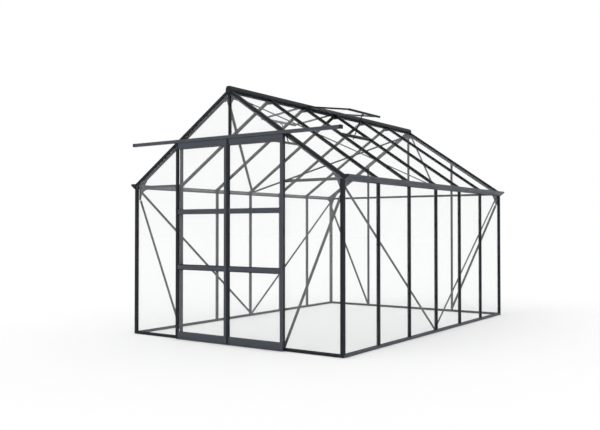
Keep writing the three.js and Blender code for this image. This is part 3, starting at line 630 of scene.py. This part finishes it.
def build_eaves_gusset(end_name, end, name, side, back, inside, bolts):
    """The plate that joins a rake to its post in the gable, and the one that joins the post to the side wall."""
    outer, foot_z, edge_x = WALL_X - 2.3, 1372, 1120
    tip = (1130, roof_z(1130, RAKE_INNER_EDGE - 8))
    plate = [(outer, foot_z), (outer, roof_z(outer, GUSSET_TOP)), (edge_x, roof_z(edge_x, GUSSET_TOP)), tip]
    plate += curve(tip, (1196, 1480), (outer - 22, foot_z))
    # The gusset takes the lighter door coat as painted light.
    Piece(f"eaves_gusset_{end_name}_{name}", "door").extrude(
        [(side * x, z) for x, z in plate], back, GUSSET_IN, BACK_PLATE[0] - 0.1, radius=1.2).make()
    for x, z in ((1150, roof_z(1150, -36)), (1190, roof_z(1190, -36)), (1228, 1440), (1228, 1392)):
        bolts.bolt((side * x, inside, z), (0, -end, 0), size=4.5)
    post_y, plate_x = GABLE_Y[end] - end * 6, side * (WALL_X - 11.2)
    corner = [(0, 1398), (0, 1440), (62, 1503), (122, 1503), (116, 1488)]
    corner += curve((116, 1488), (34, 1466), (14, 1398))
    face = basis((plate_x, post_y, 0), (0, -end, 0), (0, 0, 1), (side, 0, 0))
    # The gusset takes the lighter door coat as painted light.
    Piece(f"wall_gusset_{end_name}_{name}", "door").extrude(corner, face, 0, 2.6, radius=1.2).make()
    for along, z in ((7, 1412), (8, 1436), (74, 1494), (104, 1495)):
        bolts.bolt((plate_x, post_y - end * along, z), (-side, 0, 0), size=3.6)


def build_apex_gusset(end_name, end, back, inside, bolts):
    reach, flat, shoulder, foot_x, foot_z = 78, 8, (26, 2310), 16, 2266
    tip_x = reach - 6
    tip_z = roof_z(tip_x, RAKE_INNER_EDGE - 8)
    edge, peak = roof_z(reach, GUSSET_TOP), roof_z(flat, GUSSET_TOP)
    plate = [(-reach, edge), (-flat, peak), (flat, peak), (reach, edge), (tip_x, tip_z)]
    plate += curve((tip_x, tip_z), shoulder, (foot_x, foot_z)) + [(-foot_x, foot_z)]
    plate += curve((-foot_x, foot_z), (-shoulder[0], shoulder[1]), (-tip_x, tip_z))
    # The gusset takes the lighter door coat as painted light.
    Piece(f"apex_gusset_{end_name}", "door").extrude(
        plate, back, GUSSET_IN, BACK_PLATE[0] - 0.1, radius=1.2).make()
    for x in (-52, -24, 24, 52):
        bolts.bolt((x, inside, roof_z(x, -37)), (0, -end, 0), size=4.5)
    bolts.bolt((0, inside, 2282), (0, -end, 0), size=4.5)


def build_gables():
    face_in = CAP_OUT - RAKE_PLATE
    rake = [
        (RAKE_LOW, EDGE_OUT - RAKE_PLATE), (RAKE_LOW, EDGE_OUT), (CAP_OUT, EDGE_OUT), (CAP_OUT, BACK_PLATE[0]),
        (face_in, BACK_PLATE[0]), (face_in, EDGE_OUT - RAKE_PLATE)]
    groove = BACK_PLATE[0] + 1.4
    inner = [
        (RAKE_INNER_EDGE, BACK_PLATE[0]), (RAKE_INNER_EDGE, BACK_PLATE[1]), (-SLOT, BACK_PLATE[1]),
        (-SLOT, BACK_PLATE[0]), (-12, BACK_PLATE[0]), (-12, groove), (-20, groove), (-20, BACK_PLATE[0])]
    start, stop = plumb(ROOF_BAR_START), plumb(EAVES_X)
    for end_name, end in ENDS:
        bolts = Piece(f"gusset_bolts_{end_name}", "steel")
        back = basis((0, GABLE_Y[end], 0), (1, 0, 0), (0, 0, 1), (0, end, 0))
        inside = GABLE_Y[end] + end * GUSSET_IN
        for name, side in SIDES:
            put = basis((0, GABLE_Y[end], APEX_Z), (side * SIN, 0, COS), (0, end, 0), (side * COS, 0, -SIN))
            Piece(f"rake_{end_name}_{name}", "frame").extrude(rake, put, start, stop, radius=0.9).make(
                *([f"gable_arch_{end_name}"] if side < 0 else []))
            # The inner rake takes the lighter door coat as painted light, lifting the shade it sits in beside the
            # glass.
            Piece(f"rake_inner_{end_name}_{name}", "door").extrude(inner, put, start, stop, radius=0.8).make()
            Piece(f"rake_seal_{end_name}_{name}", "rubber").extrude(
                rectangle(2.2, face_in - 0.2, BACK_PLATE[0], -9), put, start, stop, radius=0.8, chamfer=0.3).make()
            build_eaves_gusset(end_name, end, name, side, back, inside, bolts)
        build_apex_gusset(end_name, end, back, inside, bolts)
        bolts.make()


def build_gable_bars():
    bars = [("door_jamb_left", -1, -1), ("door_jamb_right", -1, 1), ("rear_bar_left", 1, -1),
            ("rear_bar_right", 1, 1), ("rear_bar_centre", 1, 0), ("front_centre_bar", -1, 0)]
    seals = {-1: Piece("gable_bar_seals_front", "rubber"), 1: Piece("gable_bar_seals_rear", "rubber")}
    for name, end, step in bars:
        x = step * GABLE_BAR_X
        low, high = box_mm(name)
        put = gable_basis(end, x)
        bar_top = lambda a, b: min(roof_z(x + b, RAKE_INNER_EDGE - CLEARANCE), high[2])
        cap_top = lambda a, b: min(roof_z(x + b, RAKE_LOW - CLEARANCE), high[2])
        Piece(name + "_bar", "frame").extrude(BAR, put, low[2], bar_top).make(name)
        Piece(name + "_cap", "frame").extrude(GABLE_CAP, put, low[2] + 1, cap_top).make()
        glass_low = max(low[2] + 11, GLASS_FOOT + 1)
        for seal in SEALS:
            seal_top = cap_top if seal[0][0] > 0 else bar_top
            seals[end].extrude(seal, put, glass_low, seal_top, radius=0.8, chamfer=0.3)
    for piece in seals.values():
        piece.make()
    low, high = box_mm("door_head")
    y, bottom, top = GABLE_Y[-1], low[2], high[2]
    outline = [
        (y - 14, bottom), (y + 9, bottom), (y + 9, top), (y + 3, top), (y + 3, top - 16), (y - 3, top - 16),
        (y - 3, top), (y - 14, top), (y - 14, top - 6), (y - 13, top - 6), (y - 13, top - 8), (y - 14, top - 8)]
    put = basis((0, 0, 0), (0, 1, 0), (0, 0, 1), (1, 0, 0))
    Piece("door_head_channel", "frame").extrude(outline, put, low[0], high[0]).make("door_head")


def build_ties():
    for name, end in (("rear_tie", 1), ("front_tie_left", -1), ("front_tie_right", -1)):
        low, high = box_mm(name)
        outer = low[1] if end < 0 else high[1]
        inner = high[1] if end < 0 else low[1]
        depth = abs(outer - inner)
        put = basis((0, outer, 0), (0, -end, 0), (0, 0, 1), (1, 0, 0))
        z0, z1 = low[2], high[2]
        outline = [
            (0, z0), (depth, z0), (depth, z0 + 4), (depth - 1.4, z0 + 4), (depth - 1.4, z0 + 2), (2, z0 + 2),
            (2, z1 - 2), (depth - 1.4, z1 - 2), (depth - 1.4, z1 - 4), (depth, z1 - 4), (depth, z1), (0, z1)]
        Piece(name + "_channel", "frame").extrude(outline, put, low[0], high[0]).make(name)


def flat_brace(name, look, put, start, end, leg=0.0):
    """A flat bar with round ends, stiffened by a leg along one edge where one is given."""
    start, end = Vector(start), Vector(end)
    along, half = (end - start).normalized(), BRACE_WIDTH / 2
    across = Vector((-along.y, along.x))
    bar = Piece(name + "_flat", look).extrude(
        round_ended(start, end, along, half), put, 0, BRACE_THICK, radius=0.3, chamfer=0.3)
    if leg:
        near, far = start + along * LEG_SETBACK, end - along * LEG_SETBACK
        inner = half - BRACE_THICK
        strip = [tuple(at + across * w) for at, w in ((near, inner), (far, inner), (far, half), (near, half))]
        bar.extrude(strip, put, BRACE_THICK - 0.5, BRACE_THICK + leg, radius=0.3, chamfer=0.3)
    bar.make(name)


def build_braces():
    bolts = Piece("brace_bolts", "steel")
    for end_name, end in ENDS:
        for name, side in SIDES:
            outer = GABLE_Y[end] + end * BACK_PLATE[0] - end * SEAM
            put = basis((0, outer, 0), (1, 0, 0), (0, 0, 1), (0, -end, 0))
            top = (side * GABLE_BRACE_TOP[0], GABLE_BRACE_TOP[1])
            low = (side * (GABLE_BAR_X + GABLE_BRACE_FOOT), BRACE_FOOT_Z)
            flat_brace(f"{end_name}_brace_{name}", "brace", put, top, low)
            for x, z in (top, low):
                bolts.bolt((x, outer - end * BRACE_THICK, z), (0, -end, 0), BRACE_BOLT)
            inner = side * (WALL_X + FLANGE_IN - SEAM)
            put = basis((inner, MID_Y, 0), (0, 1, 0), (0, 0, 1), (-side, 0, 0))
            top, low = (end * WALL_BRACE_TOP[0], WALL_BRACE_TOP[1]), (end * BRACE_FOOT_Y, BRACE_FOOT_Z)
            flat_brace(f"wall_brace_{name}_{end_name}", "brace", put, top, low)
            for y, z in (top, low):
                bolts.bolt((inner - side * BRACE_THICK, MID_Y + y, z), (-side, 0, 0), BRACE_BOLT)
            out, inward = FLANGE_IN - SEAM, (-side * SIN, 0, -COS)
            put = basis((side * out * SIN, MID_Y, APEX_Z + out * COS), (side * COS, 0, -SIN), (0, 1, 0), inward)
            top, low = (ROOF_BRACE_TOP[0], end * ROOF_BRACE_TOP[1]), (ROOF_BRACE_FOOT, end * BRACE_FOOT_Y)
            flat_brace(f"roof_brace_{name}_{end_name}", "dark_brace", put, top, low, ROOF_BRACE_LEG)
            for down, y in (top, low):
                bolts.bolt(put(down, y, BRACE_THICK), inward, BRACE_BOLT)
    bolts.make()


def pane(name, outline, put, body="root", replaced=()):
    Piece(name, "glass", body).extrude(outline, put, -GLASS / 2, GLASS / 2, radius=1.0).make(*replaced)


def build_side_panes(name, side):
    put = basis((side * WALL_X, 0, 0), (0, 1, 0), (0, 0, 1), (side, 0, 0))
    for k, (y0, y1) in enumerate(bays(WALL_EDGES, PANE_SETBACK)):
        pane(f"wall_pane_{name}_{k + 1}", rectangle(y0, y1, GLASS_FOOT, GLASS_TOP), put,
             replaced=[f"side_glass_{name}"] if k == 0 else [])
    slope = basis((0, 0, APEX_Z), (0, 1, 0), (side * COS, 0, -SIN), (side * SIN, 0, COS))
    for k, (y0, y1) in enumerate(bays(ROOF_EDGES, PANE_SETBACK)):
        top = PANE_UNDER_VENT if y0 < VENT_Y < y1 else ROOF_LOW[0] / COS
        pane(f"roof_pane_{name}_{k + 1}", rectangle(y0, y1, top, ROOF_HIGH[0] / COS), slope,
             replaced=[f"roof_glass_{name}"] if k == 0 else [])


def build_gable_panes(end_name, end):
    edge, _, peak = box_mm(f"{end_name}_glass")[1]
    put = basis((0, GABLE_Y[end], 0), (1, 0, 0), (0, 0, 1), (0, end, 0))
    under_rake = -SLOT - 0.4
    top = lambda x: min(roof_z(x, under_rake), peak)
    foot = GLASS_FOOT if end > 0 else box_mm("door_head")[1][2] - 15.5
    for name, side in SIDES:
        x0, x1 = GABLE_BAR_X + PANE_SETBACK, edge
        outer = [(side * x0, GLASS_FOOT), (side * x1, GLASS_FOOT), (side * x1, top(x1)), (side * x0, top(x0))]
        pane(f"gable_pane_{end_name}_{name}_outer", outer, put,
             replaced=[f"{end_name}_glass"] if side < 0 else [])
        x0, x1 = PANE_SETBACK, GABLE_BAR_X - PANE_SETBACK
        flat = max((roof_z(0, under_rake) - peak) / ROOF_SLOPE, x0 + 1)
        inner = [(x0, foot), (x1, foot), (x1, top(x1)), (flat, top(flat)), (x0, top(x0))]
        pane(f"gable_pane_{end_name}_{name}_inner", [(side * x, z) for x, z in inner], put)
    sill = Piece(f"gable_sill_channel_{end_name}", "frame")
    put = basis((0, GABLE_Y[end], BASE_TOP), (0, end, 0), (0, 0, 1), (1, 0, 0))
    gap = BAR_HALF + CLEARANCE
    spans = [(-edge, -GABLE_BAR_X - gap), (GABLE_BAR_X + gap, edge)]
    if end > 0:
        spans += [(-GABLE_BAR_X + gap, -gap), (gap, GABLE_BAR_X - gap)]
    for x0, x1 in spans:
        sill.extrude(GLAZING_CHANNEL, put, x0, x1, radius=0.5, chamfer=0.3)
    sill.make()


def build_panes():
    for name, side in SIDES:
        build_side_panes(name, side)
    for end_name, end in ENDS:
        build_gable_panes(end_name, end)


def build_vent_sills():
    for name, side in SIDES:
        low, high = box_mm(f"vent_sill_{name}")
        put = basis((0, 0, APEX_Z), (side * COS, 0, -SIN), (side * SIN, 0, COS), (0, 1, 0))
        Piece(f"vent_sill_{name}_section", "frame").extrude(
            VENT_SILL, put, low[1], high[1]).make(f"vent_sill_{name}")
        uphill = (-side * COS, 0, SIN)
        Piece(f"stay_peg_{name}", "steel").turn(STAY_PEG, put(VENT_SILL[0][0] + 0.4, 8, VENT_Y), uphill, 16).make()


def build_track():
    low, high = box_mm("door_track")
    front, back, bottom, top, wall = low[1] + 2, high[1], low[2] + 1.5, high[2] - 1.5, 2.5
    slot_front, slot_back = front + 7, back - 18.7
    outline = [
        (slot_front, bottom), (front, bottom), (front, bottom + 7), (front + 0.9, bottom + 7.6),
        (front + 0.9, bottom + 8.8), (front, bottom + 9.4), (front, top), (back, top), (back, bottom),
        (slot_back, bottom), (slot_back, bottom + wall), (back - wall, bottom + wall), (back - wall, top - wall),
        (front + wall, top - wall), (front + wall, bottom + wall), (slot_front, bottom + wall)]
    put = basis((0, 0, 0), (0, 1, 0), (0, 0, 1), (1, 0, 0))
    half = high[0] - TRACK_END
    Piece("door_track_channel", "door").extrude(outline, put, -half, half, radius=0.8).make("door_track")
    ends = Piece("door_track_ends", "frame")
    for side in (-1, 1):
        ends.block((side * (half + SEAM), side * high[0]), (low[1], back), (low[2], high[2]), radius=2.0, chamfer=1.0)
    ends.make()
    fixings = Piece("door_track_fixings", "steel")
    for x in (*(-x for x in reversed(TRACK_FIXINGS)), *TRACK_FIXINGS):
        fixings.bolt((x, back - 15, top), (0, 0, 1), size=2.4)
    fixings.make()


def build_door_frame(name, side, body, x0, x1):
    low, high = box_mm(f"{name}_door_frame")
    front = low[1]
    inner, outer = (high[0], low[0]) if side < 0 else (low[0], high[0])
    stile = [
        (0, 0), (STILE - 4, 0), (STILE - 4, 1), (STILE - 2.6, 1), (STILE - 2.6, 0), (STILE, 0), (STILE, 17.6),
        (0, 17.6)]
    for where, edge, inward in (("meeting", inner, 1), ("outer", outer, -1)):
        put = basis((edge, front, 0), (side * inward, 0, 0), (0, 1, 0), (0, 0, 1))
        # The left stile of each leaf takes the darker frame coat as painted shade.
        look = "frame" if edge < middle(f"{name}_door_frame", 0) else "door"  # the left one of each leaf is darker
        Piece(f"{body}_stile_{where}", look, body).extrude(
            stile, put, RAILS[0][0], RAILS[-1][1], radius=1.0).make(
            *([f"{name}_door_frame"] if where == "outer" else []))
    along = basis((0, front, 0), (0, 1, 0), (0, 0, 1), (1, 0, 0))
    face, back = 0.6, 17
    for k, (z0, z1) in enumerate(RAILS, 1):
        section = [
            (face, z0), (back, z0), (back, z1), (face, z1), (face, z1 - 3), (1.8, z1 - 3), (1.8, z1 - 4.6),
            (face, z1 - 4.6), (face, z0 + 4.6), (1.8, z0 + 4.6), (1.8, z0 + 3), (face, z0 + 3)]
        # The dark beads on this rail stand for its dark edge lines: dark seals in part, painted shade in part.
        if k == BEADED_RAIL:
            beads = Piece(f"{body}_beads", "frame", body)
            for foot, top in ((z0, z0 + BEAD), (z1 - BEAD, z1)):
                beads.extrude(rectangle(0.2, 16.8, foot, top), along, x0, x1, radius=0.8)
            beads.make()
            section = rectangle(face, back, z0 + BEAD + 0.2, z1 - BEAD - 0.2)
        Piece(f"{body}_rail_{k}", "door", body).extrude(section, along, x0, x1, radius=0.8).make()


def build_door_seals(body, back, x0, x1):
    seal = Piece(f"{body}_seals", "rubber", body)
    y, wide, lap = (back - 3.6, back - 0.6), 2.4, 0.2
    for below, above in zip(RAILS, RAILS[1:]):
        z0, z1 = below[1], above[0]
        upright = (z0 + wide + lap, z1 - wide - lap)
        for x, z in (
                ((x0, x1), (z0 - lap, z0 + wide)), ((x0, x1), (z1 - wide, z1 + lap)),
                ((x0 - lap, x0 + wide), upright), ((x1 - wide, x1 + lap), upright)):
            seal.block(x, y, z, radius=0.6, chamfer=0.3)
    seal.make()


def build_doors():
    for name, side in SIDES:
        body = f"{name}_door"
        low, high = box_mm(f"{name}_door_frame")
        x0, x1 = low[0] + STILE + 0.2, high[0] - STILE - 0.2
        build_door_frame(name, side, body, x0, x1)
        glass_low, glass_high = box_mm(f"{name}_door_glass")
        put = basis((0, (glass_low[1] + glass_high[1]) / 2, 0), (1, 0, 0), (0, 0, 1), (0, -1, 0))
        cuts = [glass_low[2], *(z + s for z in DOOR_PANE_JOINTS for s in (-1, 1)), glass_high[2]]
        for k in range(3):
            pane(f"{body}_pane_{k + 1}", rectangle(glass_low[0], glass_high[0], cuts[2 * k], cuts[2 * k + 1]), put,
                 body, [f"{name}_door_glass"] if k == 0 else [])
        build_door_seals(body, low[1] + DOOR_DEPTH, x0, x1)
        build_hangers(name, body)


def build_hangers(name, body):
    """The plates that hang a door from its rollers, with the axles, and the rollers on bodies of their own."""
    hanger = Piece(f"{body}_hangers", "steel", body)
    for where in ("outer", "inner"):
        node_name = f"{name}_door_roller_{where}"
        low, high = box_mm(node_name)
        x, z = (low[0] + high[0]) / 2, (low[2] + high[2]) / 2
        front, back, radius = low[1], high[1], (high[2] - low[2]) / 2
        hanger.block((x - 15, x + 15), (front - 4, front - 1), (HANGER_FOOT, z + 8), radius=1.2, chamfer=0.5)
        hanger.turn([(3, front - 1.5), (3, back + 1)], (x, 0, z), (0, 1, 0), 20)
        for across in (-8, 8):
            hanger.bolt((x + across, front - 1, HANGER_FOOT + 13), (0, 1, 0), size=3.0)
        bore, groove = 3.1, radius - 0.8
        profile = [
            (bore, front), (radius - 1.5, front), (radius, front + 1.2), (radius, front + 4), (groove, front + 5),
            (groove, back - 5), (radius, back - 4), (radius, back - 1.2), (radius - 1.5, back), (bore, back),
            (bore, front)]
        Piece(node_name + "_wheel", "nylon", node_name).turn(profile, (x, 0, z), (0, 1, 0), 40).make(node_name)
    hanger.make()


def build_stay(name, cross, across):
    """A vent's stay, with its pivot pin and the lug on the vent that carries them."""
    body = f"{name}_vent"
    x, z = STAY_PIVOT
    Piece(f"{body}_stay_lug", "frame", body).extrude(
        rectangle(x - 9, VENT_TAIL + 5, z - 8, -12.2), cross, -5, -2, radius=2.0).make()
    pin = [(4.6, -6.6), (4.6, -5.1), (3, -5), (3, 3.2), (2.4, 3.6)]
    Piece(f"{body}_stay_pin", "steel", body).turn(pin, cross(x, z, 0), across, 20).make()
    direction = Vector((math.cos(STAY_LEAN), -math.sin(STAY_LEAN)))
    pivot = Vector(STAY_PIVOT)
    heel = pivot - direction * STAY_HALF
    toe = pivot + direction * STAY_LENGTH - direction * STAY_HALF
    stay = Piece(f"{body}_stay_bar", "dark_brace", f"{body}_stay")
    stay.extrude(round_ended(heel, toe, direction, STAY_HALF), cross, -1.7, 1.3, radius=0.3, chamfer=0.3)
    eyelet = [(2.6, 1.25), (2.6, 1.7), (1.5, 1.7), (1.5, 1.25), (2.6, 1.25)]
    for k in range(6):
        spot = pivot + direction * (70 + 34 * k)
        stay.turn(eyelet, cross(spot.x, spot.y, 0), across, 16)
    stay.make(f"{body}_stay")


def build_vents():
    c, s = math.cos(VENT_DROP), math.sin(VENT_DROP)
    half, tail, foot_end = VENT_HALF, VENT_TAIL, VENT_LENGTH
    head = [(-3, -8), (-3, 9), (22, 9), (22, 6), (19, 6), (19, 5), (22, 5), (22, -8), (2, -8), (2, -5), (-1, -5)]
    foot = [
        (tail, -12), (foot_end, -12), (foot_end, 9), (tail, 9), (tail, 6), (tail + 3, 6), (tail + 3, 5), (tail, 5)]
    for name, side in SIDES:
        body = f"{name}_vent"
        origin = (side * VENT_HINGE[0], VENT_Y, VENT_HINGE[1])
        down, out, across = (side * c, 0, -s), (side * s, 0, c), (0, side, 0)
        cross = basis(origin, down, out, across)
        stiles = basis(origin, across, out, down)
        Piece(f"{body}_head_rail", "frame", body).extrude(
            head, cross, -half, half, radius=0.8).make(f"{body}_frame")
        Piece(f"{body}_foot_rail", "frame", body).extrude(foot, cross, -half, half, radius=0.8).make()
        for label, edge, inward in (("a", -half, 1), ("b", half, -1)):
            section = [(edge, -8), (edge, 9), (edge + inward * 20, 9), (edge + inward * 20, -8)]
            Piece(f"{body}_stile_{label}", "frame", body).extrude(
                section, stiles, 22.2, tail - 0.2, radius=1.0).make()
        face = basis(cross(0, VENT_PANE_OUT, 0), across, down, out)
        pane(f"{body}_pane", rectangle(-VENT_PANE_HALF, VENT_PANE_HALF, VENT_PANE_TOP, tail - 3), face, body,
             [f"{body}_glass"])
        seal = Piece(f"{body}_seal", "rubber", body)
        for edge in (-304, 301):
            seal.extrude(
                rectangle(edge, edge + 3, -7.6, -4.5), stiles, VENT_PANE_TOP, tail - 2, radius=0.6, chamfer=0.3)
        seal.make()
        build_stay(name, cross, across)


build_base()
build_posts()
build_bars()
build_ridge()
build_gutters()
build_gables()
build_gable_bars()
build_ties()
build_braces()
build_panes()
build_vent_sills()
build_track()
build_doors()
build_vents()


# ---- Stage, light and camera ----
FLOOR_HALF, FLOOR_Z = 60.0, -0.002  # metres
FLOOR_SHADE = 0.88
SUN_STRENGTH, SUN_ANGLE = 0.6, math.radians(40)
SUN_TURN = (math.radians(38), 0, math.radians(-30))
LENS, SENSOR = 44.18, 36.0
CAMERA_AT = (4.4926, -7.1297, 1.0904)  # metres
CAMERA_TURN = (math.radians(90.98), 0, math.radians(34.893))


def build_stage():
    mesh = bpy.data.meshes.new("floor")
    corners = [(x * FLOOR_HALF, y * FLOOR_HALF, FLOOR_Z) for x, y in ((-1, -1), (1, -1), (1, 1), (-1, 1))]
    mesh.from_pydata(corners, [], [(0, 1, 2, 3)])
    floor = bpy.data.objects.new("floor", mesh)
    bpy.context.scene.collection.objects.link(floor)
    material = bpy.data.materials.new("pale_floor")
    material.use_nodes = True
    shader = material.node_tree.nodes["Principled BSDF"]
    shader.inputs["Base Color"].default_value = (FLOOR_SHADE, FLOOR_SHADE, FLOOR_SHADE, 1)
    shader.inputs["Roughness"].default_value = 0.9
    shader.inputs["Specular IOR Level"].default_value = 0.0
    mesh.materials.append(material)


def build_light():
    world = bpy.data.worlds.new("studio")
    bpy.context.scene.world = world
    world.use_nodes = True
    world.node_tree.nodes["Background"].inputs["Color"].default_value = (1, 1, 1, 1)
    world.node_tree.nodes["Background"].inputs["Strength"].default_value = 1.0
    sun = bpy.data.lights.new("key", "SUN")
    sun.energy = SUN_STRENGTH
    sun.angle = SUN_ANGLE
    lamp = bpy.data.objects.new("key", sun)
    lamp.rotation_euler = SUN_TURN
    bpy.context.scene.collection.objects.link(lamp)


def build_camera():
    data = bpy.data.cameras.new("camera")
    data.lens = LENS
    data.sensor_width = SENSOR
    data.clip_end = 200.0
    camera = bpy.data.objects.new("camera", data)
    camera.location = CAMERA_AT
    camera.rotation_euler = CAMERA_TURN
    bpy.context.scene.collection.objects.link(camera)
    bpy.context.scene.camera = camera


build_stage()
build_light()
build_camera()
bpy.context.scene.view_settings.view_transform = "Standard"

bpy.context.view_layer.update()
